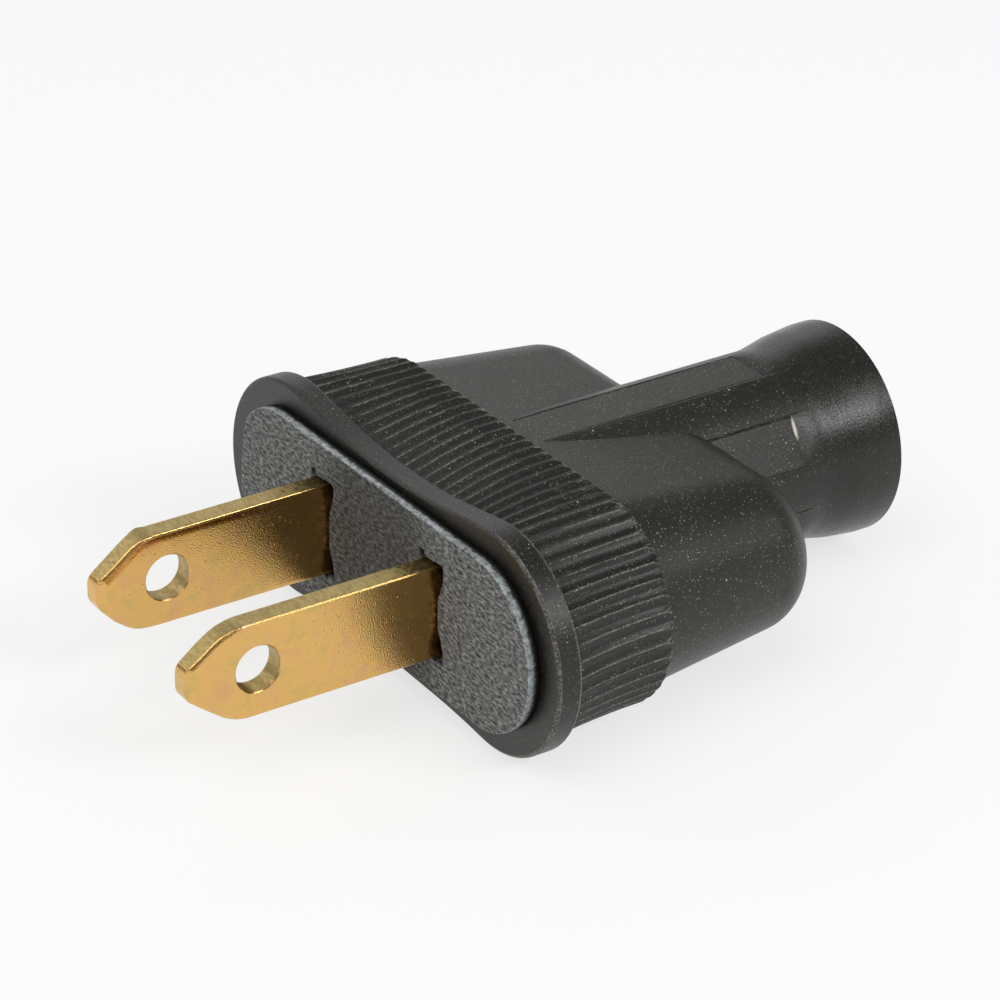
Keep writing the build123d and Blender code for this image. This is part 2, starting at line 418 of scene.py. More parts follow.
    # Rubbed crests and rims: only the very edge is paler, and the grain breaks it up.
    edge = add_node(
        tree, "MapRange", {"From Min": 0.82, "From Max": 1.0}, {"Value": crest}
    ).outputs[0]
    worn = add_node(
        tree, "MapRange",
        {"From Min": 0.44, "From Max": 0.66, "To Min": 0.08, "To Max": 1.0}, {"Value": grain},
    ).outputs[0]
    rubbed = add_node(tree, "Math", links={0: worn, 1: edge}, operation="MULTIPLY").outputs[0]

    colour = add_node(
        tree, "ValToRGB", links={"Fac": grain},
        stops=((0.34, settings.colour), (0.7, settings.grain)),
    ).outputs[0]
    for over, share in ((settings.bloom, haze), (settings.worn, rubbed)):
        colour = add_node(
            tree, "Mix", {7: (*over, 1)}, {"Factor": share, 6: colour}, data_type="RGBA"
        ).outputs[2]
    # Dust on the face that the disc is pressed against is browner than elsewhere.
    brown = add_node(
        tree, "MapRange",
        {"From Min": 1.0 * MM, "From Max": 1.4 * MM, "To Min": 1.0, "To Max": 0.0},
        {"Value": along},
    ).outputs[0]
    powder = add_node(
        tree, "Mix", {6: (*settings.talc, 1), 7: (*settings.face_dust, 1)},
        {"Factor": brown}, data_type="RGBA",
    )
    dusted = add_node(
        tree, "Mix", links={"Factor": talc, 6: colour, 7: powder.outputs[2]}, data_type="RGBA"
    )
    tree.links.new(dusted.outputs[2], shader.inputs["Base Color"])

    satin = add_node(
        tree, "MapRange",
        {"From Min": 0.3, "From Max": 0.7, "To Min": 0.3, "To Max": 0.46}, {"Value": grain},
    ).outputs[0]
    for change, share in ((-0.12, on_flare), (0.4, talc)):
        satin = add_node(
            tree, "Math", {1: change}, {0: share, 2: satin}, operation="MULTIPLY_ADD"
        ).outputs[0]
    tree.links.new(satin, shader.inputs["Roughness"])
    depth = 0.03 * MM
    bumps = add_node(tree, "Bump", {"Strength": 0.6, "Distance": depth}, {"Height": grain})
    for height, strength in ((scuffed, 0.7), (talc, 0.6)):
        bumps = add_node(
            tree, "Bump", {"Strength": strength, "Distance": depth},
            {"Height": height, "Normal": bumps.outputs[0]},
        )
    tree.links.new(bumps.outputs[0], shader.inputs["Normal"])
    shader.inputs["IOR"].default_value = 1.48
    return material


def vulcanised_fibre(settings):
    """Grey vulcanised fibre board, pressed from paper and punched: dull, flecked along the
    board's grain, with a torn pale fringe at the front of its edge, painted shade on the edge
    behind it and in the reliefs, and painted shade between the blades."""
    material, tree, shader, place = new_material("grey_vulcanised_fibre")
    fringe, edge_and_relief_shade, shade_between_blades = (
        add_node(tree, "Attribute", attribute_name=name).outputs["Fac"]
        for name in ("fringe", "edge_and_relief_shade", "shade_between_blades")
    )
    # Flecks 0.5 mm long and 0.2 mm wide, along the board's long side.
    lengthwise = add_node(
        tree, "Mapping", {"Scale": (per_mm(0.5), per_mm(0.3), per_mm(0.2))}, {"Vector": place}
    )
    fleck = add_node(
        tree, "TexNoise", {"Scale": 1.0, "Detail": 4.0, "Roughness": 0.72},
        {"Vector": lengthwise.outputs[0]},
    ).outputs["Fac"]
    fluff = add_node(
        tree, "TexNoise", {"Scale": per_mm(0.3), "Detail": 4.0, "Roughness": 0.7},
        {"Vector": place},
    ).outputs["Fac"]
    colour = add_node(
        tree, "ValToRGB", links={"Fac": fleck},
        stops=((0.36, settings.fleck), (0.48, settings.colour), (0.63, settings.pale)),
    ).outputs[0]
    # The fringe is patchy: it shows where the fluff is thick.
    ragged = add_node(
        tree, "Math", {1: 2.2}, {0: fluff, 2: fringe}, operation="MULTIPLY_ADD"
    ).outputs[0]
    torn = add_node(
        tree, "MapRange", {"From Min": 1.75, "From Max": 2.35, "To Max": 0.85}, {"Value": ragged}
    ).outputs[0]
    # Painted shade darkens the strip between the blades, and painted shade lies on the edge behind
    # the fringe and in the reliefs.
    shaded_between = add_node(tree, "Math", {1: 0.55}, {0: shade_between_blades}, operation="MULTIPLY").outputs[0]
    for over, share in (
        (settings.shade_between_blades, shaded_between), (settings.fringe, torn), (settings.edge_and_relief_shade, edge_and_relief_shade),
    ):
        colour = add_node(
            tree, "Mix", {7: (*over, 1)}, {"Factor": share, 6: colour}, data_type="RGBA"
        ).outputs[2]
    tree.links.new(colour, shader.inputs["Base Color"])
    shader.inputs["Roughness"].default_value = 0.88
    shader.inputs["Specular IOR Level"].default_value = 0.3
    felt = add_node(tree, "Bump", {"Strength": 0.7, "Distance": 0.06 * MM}, {"Height": fleck})
    nap = add_node(
        tree, "Bump", {"Strength": 0.5, "Distance": 0.04 * MM},
        {"Height": fluff, "Normal": felt.outputs[0]},
    )
    tree.links.new(nap.outputs[0], shader.inputs["Normal"])
    return material


def rolled_brass(settings):
    """Yellow brass strip, rolled: bright with a fine pebbled grain that breaks up what it
    mirrors, a few fine knocks, and faint pink and green tarnish."""
    material, tree, shader, place = new_material("rolled_yellow_brass")
    # Tarnish patches about 2 mm across.
    patch = add_node(
        tree, "TexNoise",
        {"Scale": per_mm(1.8), "Detail": 4.0, "Roughness": 0.65}, {"Vector": place},
    ).outputs["Fac"]
    # The pebbled grain, 0.1 mm.
    grain = add_node(
        tree, "TexNoise",
        {"Scale": per_mm(0.1), "Detail": 2.0, "Roughness": 0.5}, {"Vector": place},
    ).outputs["Fac"]
    # Knocks: small bright pits, about one in each half millimetre.
    cells = add_node(tree, "TexVoronoi", {"Scale": per_mm(0.55)}, {"Vector": place})
    knock = add_node(
        tree, "MapRange",
        {"From Min": 0.06, "From Max": 0.14, "To Min": 1.0, "To Max": 0.0},
        {"Value": cells.outputs["Distance"]},
    ).outputs[0]
    tone = add_node(
        tree, "ValToRGB", links={"Fac": patch},
        stops=((0.3, settings.tarnish), (0.48, settings.colour), (0.68, settings.blush)),
    )
    tree.links.new(tone.outputs[0], shader.inputs["Base Color"])
    shader.inputs["Metallic"].default_value = 1.0
    polish = add_node(
        tree, "MapRange",
        {"From Min": 0.3, "From Max": 0.7, "To Min": 0.12, "To Max": 0.18}, {"Value": patch},
    ).outputs[0]
    tree.links.new(polish, shader.inputs["Roughness"])
    pebbled = add_node(tree, "Bump", {"Strength": 0.85, "Distance": 0.017 * MM}, {"Height": grain})
    pitted = add_node(
        tree, "Bump", {"Strength": 0.5, "Distance": 0.02 * MM},
        {"Height": knock, "Normal": pebbled.outputs[0]},
    )
    tree.links.new(pitted.outputs[0], shader.inputs["Normal"])
    return material


def sheared_brass(settings):
    """The blade's punched edges: greener and duller than the rolled face, faintly drawn across
    by the punch."""
    material, tree, shader, place = new_material("sheared_yellow_brass")
    drawn = add_node(
        tree, "Mapping", {"Scale": (per_mm(0.5), per_mm(0.18), per_mm(0.18))}, {"Vector": place}
    )
    streak = add_node(
        tree, "TexNoise", {"Scale": 1.0, "Detail": 3.0, "Roughness": 0.6},
        {"Vector": drawn.outputs[0]},
    ).outputs["Fac"]
    tone = add_node(
        tree, "ValToRGB", links={"Fac": streak},
        stops=((0.3, settings.cut_dark), (0.68, settings.cut)),
    )
    # The punched edge turns dark brown over the last 4 mm before the disc, in crumbs of 0.3 mm.
    along = add_node(tree, "SeparateXYZ", links={0: place}).outputs["Y"]
    near_disc = add_node(
        tree, "MapRange",
        {"From Min": -4.5 * MM, "From Max": -0.5 * MM, "To Min": -0.25, "To Max": 0.12},
        {"Value": along},
    ).outputs[0]
    crumbs = add_node(
        tree, "TexNoise", {"Scale": per_mm(0.3), "Detail": 2.0}, {"Vector": place}
    ).outputs["Fac"]
    crumbs = add_node(tree, "Math", links={0: crumbs, 1: near_disc}, operation="ADD").outputs[0]
    crumbs = add_node(
        tree, "MapRange", {"From Min": 0.48, "From Max": 0.6, "To Max": 0.7}, {"Value": crumbs}
    ).outputs[0]
    darkened = add_node(
        tree, "Mix", {7: (*settings.darkening, 1)},
        {"Factor": crumbs, 6: tone.outputs[0]}, data_type="RGBA",
    )
    tree.links.new(darkened.outputs[2], shader.inputs["Base Color"])
    shader.inputs["Metallic"].default_value = 1.0
    dull = add_node(
        tree, "MapRange",
        {"From Min": 0.3, "From Max": 0.7, "To Min": 0.48, "To Max": 0.38}, {"Value": streak},
    ).outputs[0]
    tree.links.new(dull, shader.inputs["Roughness"])
    lines = add_node(tree, "Bump", {"Strength": 0.4, "Distance": 0.015 * MM}, {"Height": streak})
    tree.links.new(lines.outputs[0], shader.inputs["Normal"])
    return material


def turned_brass(settings):
    """Free-turning brass for the screws: fine rings left by the lathe, a little browned."""
    material, tree, shader, place = new_material("turned_screw_brass")
    # Lathe rings run round the screw's own axis, along the plug, 0.09 mm apart.
    rings = add_node(
        tree, "Mapping", {"Scale": (per_mm(1.2), per_mm(0.09), per_mm(1.2))}, {"Vector": place}
    )
    ring = add_node(
        tree, "TexNoise", {"Scale": 1.0, "Detail": 2.0}, {"Vector": rings.outputs[0]}
    ).outputs["Fac"]
    tone = add_node(
        tree, "ValToRGB", links={"Fac": ring},
        stops=((0.3, settings.screw_dark), (0.65, settings.screw)),
    )
    tree.links.new(tone.outputs[0], shader.inputs["Base Color"])
    shader.inputs["Metallic"].default_value = 1.0
    shader.inputs["Roughness"].default_value = 0.3
    cut = add_node(tree, "Bump", {"Strength": 0.3, "Distance": 0.01 * MM}, {"Height": ring})
    tree.links.new(cut.outputs[0], shader.inputs["Normal"])
    return material


def studio_white(colour, kept):
    """Matt white paper sweep: shown white to the eye and to metal, with a share of its own
    shading kept so that the plug's shadow stays on it."""
    material, tree = empty_material("white_paper_sweep")
    paper = add_node(tree, "BsdfDiffuse", {"Color": (*colour, 1)})
    glow = add_node(tree, "Emission", {"Color": (1, 1, 1, 1), "Strength": 1.0})
    path = add_node(tree, "LightPath")
    seen = path.outputs["Is Camera Ray"]
    for ray in ("Is Glossy Ray", "Is Transmission Ray"):
        seen = add_node(
            tree, "Math", links={0: seen, 1: path.outputs[ray]}, operation="MAXIMUM"
        ).outputs[0]
    share = add_node(tree, "Math", {1: 1 - kept}, {0: seen}, operation="MULTIPLY")
    both = add_node(
        tree, "MixShader", links={0: share.outputs[0], 1: paper.outputs[0], 2: glow.outputs[0]}
    )
    add_node(tree, "OutputMaterial", links={"Surface": both.outputs[0]})
    return material


def make_active(piece):
    """Selects a piece alone and makes it the active one."""
    bpy.ops.object.select_all(action="DESELECT")
    piece.select_set(True)
    bpy.context.view_layer.objects.active = piece


def apply_modifier(piece, name, kind, **settings):
    """Changes the active piece by one modifier with these settings."""
    modifier = piece.modifiers.new(name, kind)
    for setting, value in settings.items():
        setattr(modifier, setting, value)
    bpy.ops.object.modifier_apply(modifier=modifier.name)


def merged_copy(node, name):
    """A copy of a solid, in millimetres and in edit mode, with its triangles joined into faces."""
    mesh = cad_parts[node].data.copy()
    mesh.name = name
    mesh.materials.clear()
    mesh.transform(Matrix.Scale(1 / MM, 4))
    piece = bpy.data.objects.new(name, mesh)
    bpy.context.scene.collection.objects.link(piece)
    make_active(piece)
    bpy.ops.mesh.customdata_custom_splitnormals_clear()
    bpy.ops.object.mode_set(mode="EDIT")
    bpy.ops.mesh.select_all(action="SELECT")
    bpy.ops.mesh.remove_doubles(threshold=JOIN_GAP)
    bpy.ops.mesh.dissolve_limited(angle_limit=FLAT_FOLD)
    return piece


def pick_edges(piece, wanted):
    """Selects, in edit mode, just the edges that wanted(edge, middle, bend) accepts; bend is
    the outward fold there in degrees."""
    bpy.ops.mesh.select_mode(type="EDGE")
    bpy.ops.mesh.select_all(action="DESELECT")
    shape = bmesh.from_edit_mesh(piece.data)
    found = False
    for edge in shape.edges:
        if len(edge.link_faces) == 2:
            middle = (edge.verts[0].co + edge.verts[1].co) / 2
            if wanted(edge, middle, math.degrees(edge.calc_face_angle_signed())):
                edge.select_set(True)
                found = True
    bmesh.update_edit_mesh(piece.data)
    if not found:
        raise RuntimeError(f"no edge of {piece.name} was found to round")


def round_edges(piece, width, segments, wanted):
    """Rounds the edges that wanted(edge, middle, bend) accepts, over a width in metres."""
    pick_edges(piece, wanted)
    bpy.ops.mesh.bevel(offset=width / MM, segments=segments, profile=0.5, clamp_overlap=False)


def mark_points(piece, name, value):
    """Stores a number for each point of a piece, which its material reads by name."""
    shape = bmesh.new()
    shape.from_mesh(piece.data)
    shape.normal_update()
    values = [value(point) for point in shape.verts]
    shape.free()
    layer = piece.data.attributes.new(name, "FLOAT", "POINT")
    layer.data.foreach_set("value", values)


def length_along(edge):
    """How far an edge reaches along the plug, in millimetres."""
    return abs(edge.verts[0].co.y - edge.verts[1].co.y)


def outward_bend(point):
    """How sharply a piece stands out at a point, as one over the radius in millimetres."""
    bend = 0.0
    for edge in point.link_edges:
        span = point.co - edge.other_vert(point).co
        if span.length > 1e-4:
            bend = max(bend, 2 * point.normal.dot(span) / span.length_squared)
    return bend


def neck_turn(place):
    """Turn in radians from the middle of the nearest flat round the neck."""
    turn = math.atan2(place.z, place.x) - FLAT_STEP / 2
    return turn - round(turn / FLAT_STEP) * FLAT_STEP


def flat_edge_gap(place):
    """Distance in millimetres round the neck from the nearest edge of a flat."""
    return abs(abs(neck_turn(place)) - FLAT_HALF) * NECK_RADIUS


def settle(piece, body, node, materials):
    """Smooths a shaped piece, brings it to metres, and puts it on its body in place of a solid."""
    make_active(piece)
    bpy.ops.object.shade_smooth_by_angle(angle=SHARP_FOLD)
    apply_modifier(piece, "even_faces", "WEIGHTED_NORMAL", keep_sharp=True)
    piece.data.transform(Matrix.Scale(MM, 4))
    for material in materials:
        piece.data.materials.append(material)
    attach(piece, body)
    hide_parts(node)


def colour_setting(name, code, description):
    """A colour that the panel shows, from an sRGB hex colour."""
    return FloatVectorProperty(
        name=name, description=description, default=linear(code), subtype="COLOR", min=0, max=1
    )


def length_setting(name, size, description):
    """A length that the panel shows, given in millimetres."""
    return FloatProperty(name=name, description=description, default=size * MM, unit="LENGTH")


class RubberSettings(bpy.types.PropertyGroup):
    colour: colour_setting("Rubber", "#0a0a08", "Colour of the moulded rubber")
    grain: colour_setting("Grain", "#201f1a", "Rubber on the high points of its grain")
    bloom: colour_setting("Bloom", "#24221b", "Rubber where talc has dulled it")
    worn: colour_setting("Rubbed", "#85837b", "Rubber on rubbed crests and rims")
    talc: colour_setting("Talc", "#cdc9bc", "Colour of the specks of talc")
    face_dust: colour_setting("Face dust", "#ae9a72", "Colour of the specks on the face")
    crest: length_setting("Rib crest", 0.05, "Width of the rounding along each rib")
    flat_edge: length_setting("Flat edge", 0.12, "Width of the rounding along the neck's flats")
    ramp: length_setting("Flat ramp", 0.6, "How far each flat takes to rise at its end")
    groove: length_setting("Flat groove", 0.17, "Depth of the groove along the edges of the flats")
    bow: length_setting("Flange bow", 0.3, "How far the soft flange sags at its waist")


class FibreSettings(bpy.types.PropertyGroup):
    colour: colour_setting("Fibre", "#626463", "Colour of the board")
    fleck: colour_setting("Fleck", "#2c2c2d", "Colour of the dark flecks")
    pale: colour_setting("Pale fibre", "#9c9e9d", "Colour of the pale flecks")
    fringe: colour_setting("Fringe", "#b4bcc0", "Colour of the torn edge")
    # Painted shade on the strip between the blades.
    shade_between_blades: colour_setting("Shading", "#2b2823", "Colour of the dirt between the blades")
    # Painted shade on the edge behind the fringe and in the reliefs.
    edge_and_relief_shade: colour_setting("Edge shade", "#121212", "Colour of the edge behind the fringe")
    fringe_width: length_setting(
        "Fringe width", 0.17, "How far the torn edge reaches over the face"
    )
    step: length_setting("Mesh step", 0.11, "Spacing of the board's points")
    end_pull: length_setting("End pull", 0.85, "How far the left end is cut short of its round")
    relief: length_setting("Relief", 0.5, "Depth of the punched relief over each blade")
    slot_tear: length_setting("Slot tear", 0.42, "How far each slot gapes at its ends")


class BrassSettings(bpy.types.PropertyGroup):
    colour: colour_setting("Brass", "#dfb36a", "Colour of the rolled face")
    tarnish: colour_setting("Tarnish", "#cbac6c", "Colour of the green tarnish")
    blush: colour_setting("Blush", "#d9aa74", "Colour of the pink tarnish")
    cut: colour_setting("Cut edge", "#c2ab74", "Colour of the punched edge")
    cut_dark: colour_setting("Cut shade", "#a48f5a", "Streaks on the punched edge")
    darkening: colour_setting("Darkening", "#5a4528", "Colour of the dirt on the punched edge")
    screw: colour_setting("Screw", "#cda45c", "Colour of the terminal screws")
    screw_dark: colour_setting("Screw shade", "#8f6d38", "Browned rings on the screws")
    edge: length_setting("Edge", 0.07, "Rounding along the blade's edges")
    tip_drop: length_setting(
        "Tip drop", 0.2, "How far the swaged tip's face slopes in at the edge"
    )
    nose_drop: length_setting("Nose drop", 0.16, "How much further the face slopes in at the nose")
    near_full: length_setting("Near fullness", 0.24, "How far the near tip's upper taper bulges")
    far_full: length_setting("Far fullness", 0.42, "How far the far tip's lower taper bulges")
    rolled_edge: length_setting(
        "Rolled edge", 0.11, "How far the far blade's face rolls in at its top edge"
    )
    burr: length_setting("Burr", 0.16, "Height of the burr on the far blade's bend")


class StudioSettings(bpy.types.PropertyGroup):
    paper: colour_setting("Sweep", "#f6f6f5", "Colour of the paper sweep")
    shadow: FloatProperty(
        name="Shadow", description="Share of the sweep's own shading that shows",
        default=0.3, min=0, max=1, subtype="FACTOR",
    )


class PLUG_OT_rubber_body(bpy.types.Operator):
    """Softens the moulded body's ribs, flats and flange and gives it its rubber"""

    bl_idname = "plug.rubber_body"
    bl_label = "Rubber body"

    def execute(self, context):
        settings = context.scene.plug_rubber
        piece = merged_copy("body", "rubber_body")
        round_edges(
            piece, settings.crest, 2,
            lambda edge, middle, bend: bend > CREST_FOLD
            and BAND_START + NEAR < middle.y < BAND_END - NEAR
            and length_along(edge) > NEAR
            and (abs(middle.x) > OUTSIDE_X or abs(middle.z) > OUTSIDE_Z),
        )
        round_edges(
            piece, settings.flat_edge, 2,
            lambda edge, middle, bend: bend > FLAT_EDGE_FOLD
            and BAND_END + CLEAR < middle.y < FLAT_END
            and length_along(edge) > CLEAR
            and abs(math.hypot(middle.x, middle.z) - NECK_RADIUS) < NEAR
            and flat_edge_gap(middle) < NEAR,
        )
        # The neck meets the shoulders and its flats' ends in a clean line.
        pick_edges(
            piece,
            lambda edge, middle, bend: bend < -FLAT_EDGE_FOLD
            and BAND_END + CLEAR < middle.y < FLAT_END + 2 * NEAR,
        )
        bpy.ops.mesh.mark_sharp()
        bpy.ops.object.mode_set(mode="OBJECT")
        step = NECK_RADIUS - FLAT_REACH
        for point in piece.data.vertices:
            place = point.co.copy()
            reach = math.hypot(place.x, place.z)
            # Each flat rises to the round of the neck on a short ramp.
            proud = reach * math.cos(neck_turn(place)) - FLAT_REACH
            if abs(place.y - FLAT_END) < ON_LINE and proud > LEVEL:
                point.co.y += settings.ramp / MM * min(proud / step, 1.0)
            # A fine groove runs along both edges of each flat.
            elif (
                BAND_END + CLEAR < place.y < FLAT_END + ON_LINE
                and abs(reach - NECK_RADIUS) < NEAR
                and flat_edge_gap(place) < ON_LINE
            ):
                point.co.x -= settings.groove / MM * place.x / reach
                point.co.z -= settings.groove / MM * place.z / reach
            # The flare ends in a crisp rim.
            if place.y > FLARE_END - RIM_ROUND and reach > FLARE_RADIUS - RIM_ROUND - ON_LINE:
                point.co.x *= FLARE_RADIUS / reach
                point.co.z *= FLARE_RADIUS / reach
            waist = 1 - smooth_step(abs(place.x), *SAG_FADE)
            fade = 1 - smooth_step(place.y, BAND_START, SAG_END)
            point.co.z -= settings.bow / MM * fade * waist

        def crest(point):
            """1 on sharp edges of the band, and less on the flange's rim but for its near end."""
            if point.co.y > BAND_END:
                return 0.0
            sharp = smooth_step(outward_bend(point), *RUBBED_BEND)
            if point.co.y > BAND_START - ON_LINE:
                return sharp
            return sharp * (RIM_RUBBED + RIM_RUBBED_MORE * smooth_step(point.co.x, *RIM_NEAR_END))

        mark_points(piece, "crest", crest)
        settle(piece, "plug", "body", [moulded_rubber(settings)])
        return {"FINISHED"}


class PLUG_OT_fibre_disc(bpy.types.Operator):
    """Gives the fibre disc its torn edge, its gaping slots and its flecked board"""

    bl_idname = "plug.fibre_disc"
    bl_label = "Fibre disc"

    def execute(self, context):
        settings = context.scene.plug_fibre
        solid = merged_copy("face_disc", "disc_outline")
        bpy.ops.object.mode_set(mode="OBJECT")
        piece = merged_copy("face_disc", "fibre_disc")
        bpy.ops.object.mode_set(mode="OBJECT")
        apply_modifier(
            piece, "fine_points", "REMESH", mode="VOXEL", voxel_size=settings.step / MM
        )
        apply_modifier(
            piece, "back_to_size", "SHRINKWRAP", target=solid, wrap_method="NEAREST_SURFACEPOINT"
        )
        bpy.data.objects.remove(solid)
        apply_modifier(piece, "softened_arrises", "SMOOTH", factor=0.5, iterations=5)
        box = [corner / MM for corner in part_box("face_disc")]
        front = box[0].y
        radius = (box[1].z - box[0].z) / 2
        straight = box[1].x - radius

        def to_rim(place):
            """Distance in from the disc's outline, in millimetres."""
            side = max(abs(place.x) - straight, 0.0)
            return radius - math.hypot(side, place.z)

        width = settings.fringe_width / MM

        def fringe(point):
            """1 along the front of the punched edge, fading over the face and down the edge."""
            over = 1 - smooth_step(to_rim(point.co), FRINGE_START, width)
            return over * (1 - smooth_step(point.co.y - front, *FRINGE_END))

        def to_relief(place):
            """Distance from the nearer slot's punched relief, above the blade's far corner."""
            blade = math.copysign(BLADE_MIDDLE, place.x)
            return math.hypot(place.x - blade + SLOT_EDGE, place.z - RELIEF_HEIGHT)

        def edge_and_relief_shade(point):
            """Painted shade: 1 along the back of the punched edge and in the reliefs."""
            behind = smooth_step(point.co.y - front, *EDGE_SHADE_START)
            behind *= 1 - smooth_step(to_rim(point.co), *EDGE_SHADE_REACH)
            return max(behind, 1 - smooth_step(to_relief(point.co), *RELIEF_SHADE))

        def shade_between_blades(point):
            """Painted shade: 1 in the strip between the blades, fading beyond them."""
            return 1 - smooth_step(abs(point.co.x), *BLADE_SHADE_FADE)

        for name, value in (("fringe", fringe), ("edge_and_relief_shade", edge_and_relief_shade), ("shade_between_blades", shade_between_blades)):
            mark_points(piece, name, value)
        for point in piece.data.vertices:
            place = point.co.copy()
            inward = to_rim(place)
            if inward < TORN_WIDTH:
                ragged = noise.noise(place * COARSE_TEARS) + noise.noise(place * FINE_TEARS)
                pull = TORN_DEPTH * (1 - inward / TORN_WIDTH) * (TORN_SHARE + ragged / 2)
                middle = Vector((min(max(place.x, -straight), straight), place.y, 0.0))
                point.co -= (place - middle).normalized() * pull
            from_cut = (place.z - END_HEIGHT) / END_SPREAD
            short = END_SHARE + (1 - END_SHARE) * math.exp(-(from_cut**2))
            point.co.x += settings.end_pull / MM * short * smooth_step(-place.x, *END_START)
            if place.y - front < RELIEF_DEPTH:
                pit = 1 - smooth_step(to_relief(place), *RELIEF_WALL)
                point.co.y += settings.relief / MM * pit
            # The board touches each blade half way up its slot and gapes at the slot's ends.
            for blade in (-BLADE_MIDDLE, BLADE_MIDDLE):
                away = place.x - blade - SLOT_EDGE
                if -SLOT_BEHIND < away < SLOT_WIDTH and abs(place.z) < GAPE_END[1]:
                    near = 1 - smooth_step(away, 0.0, SLOT_WIDTH)
                    ends = 1 - smooth_step(abs(place.z), *GAPE_END)
                    gape = smooth_step(abs(place.z), *GAPE_HEIGHT) * ends
                    frayed = sum(depth * noise.noise(place * frays) for depth, frays in FRAYS)
                    point.co.x += (settings.slot_tear / MM * gape + abs(frayed)) * near
        settle(piece, "disc", "face_disc", [vulcanised_fibre(settings)])
        return {"FINISHED"}


class PLUG_OT_brass_blades(bpy.types.Operator):
    """Rounds the punched edges and swaged tips of both blades and gives them their brass"""

    bl_idname = "plug.brass_blades"
    bl_label = "Brass blades"

    def execute(self, context):
        settings = context.scene.plug_brass
        finishes = [rolled_brass(settings), sheared_brass(settings)]
        for side, (middle_x, up, fullness, nose_share, fade) in TAPERS.items():
            full = getattr(settings, fullness) / MM
            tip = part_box(f"blade_{side}")[0] / MM
            piece = merged_copy(f"blade_{side}", f"brass_blade_{side}")
            for cut in TIP_CUTS:
                bpy.ops.mesh.select_all(action="SELECT")
                bpy.ops.mesh.bisect(plane_co=(0, tip.y + cut, 0), plane_no=(0, 1, 0))
            shape = bmesh.from_edit_mesh(piece.data)
            for point in shape.verts:
                from_tip = point.co.y - tip.y
                line = min(TAPER_FOOT + TAPER_SLOPE * from_tip, TAPER_TOP)
                if from_tip < TAPER_LENGTH and point.co.z * up > line:
                    past_nose = smooth_step(from_tip, 0.0, TIP_CUTS[0])
                    share = nose_share + (1 - nose_share) * past_nose
                    share *= 1 - smooth_step(from_tip, *fade)
                    point.co.z += up * full * share
            bmesh.update_edit_mesh(piece.data)
            # The tip is swaged: one face slopes to the edge, over two bands round the outline.
            shape = bmesh.from_edit_mesh(piece.data)
            bpy.ops.mesh.select_mode(type="FACE")
            bpy.ops.mesh.select_all(action="DESELECT")
            for face in shape.faces:
                shown = face.calc_center_bounds().y < BLADE_SHOWN
                face.select_set(abs(face.normal.x) > ROLLED_FACING and shown)
            bmesh.update_edit_mesh(piece.data)
            for band, part in TIP_BANDS:
                drop = settings.tip_drop / MM * part
                bpy.ops.mesh.inset(thickness=band, depth=0.0, use_boundary=True)
                shape = bmesh.from_edit_mesh(piece.data)
                for point in shape.verts:
                    from_tip = point.co.y - tip.y
                    at_hole = math.hypot(from_tip - HOLE_FROM_TIP, point.co.z) < HOLE_CLEAR
                    if point.select or at_hole:
                        continue
                    if point.co.x - middle_x > BLADE_THICKNESS / 2 - LEVEL:
                        nose = settings.nose_drop / MM * (1 - smooth_step(from_tip, *NOSE_FADE))
                        sloped = drop * (1 - smooth_step(from_tip, *SLOPE_FADE))
                        if side == "left" and point.co.z > ROLLED_ABOVE:
                            sloped = max(sloped, drop * settings.rolled_edge / settings.tip_drop)
                        point.co.x -= sloped + nose
                bmesh.update_edit_mesh(piece.data)
            round_edges(
                piece, settings.edge, 1,
                lambda edge, middle, bend: abs(bend) > BLADE_FOLD and middle.y < EDGES_END,
            )
            bpy.ops.object.mode_set(mode="OBJECT")
            if side == "left":
                for point in piece.data.vertices:
                    along = (point.co.y - tip.y - BURR_FROM_TIP) / BURR_WIDTH
                    if point.co.z > BURR_ABOVE and point.co.x < middle_x:
                        point.co.z += settings.burr / MM * math.exp(-along * along)
            settle(piece, "plug", f"blade_{side}", finishes)
            points = piece.data.vertices
            for face in piece.data.polygons:
                front = min(points[i].co.y for i in face.vertices) / MM
                at_nose = face.normal.y < -NOSE_FACING and front < tip.y + NOSE_DEPTH
                if abs(face.normal.x) < PUNCHED_FACING and front < BLADE_SHOWN and not at_nose:
                    face.material_index = 1
        return {"FINISHED"}


class PLUG_OT_terminal_screws(bpy.types.Operator):
    """Gives the two terminal screws their turned brass"""

    bl_idname = "plug.terminal_screws"
    bl_label = "Terminal screws"

    def execute(self, context):
        finish = turned_brass(context.scene.plug_brass)
        for side in ("left", "right"):
            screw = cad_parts[f"terminal_screw_{side}"]
            screw.data.materials.clear()
            screw.data.materials.append(finish)
        return {"FINISHED"}


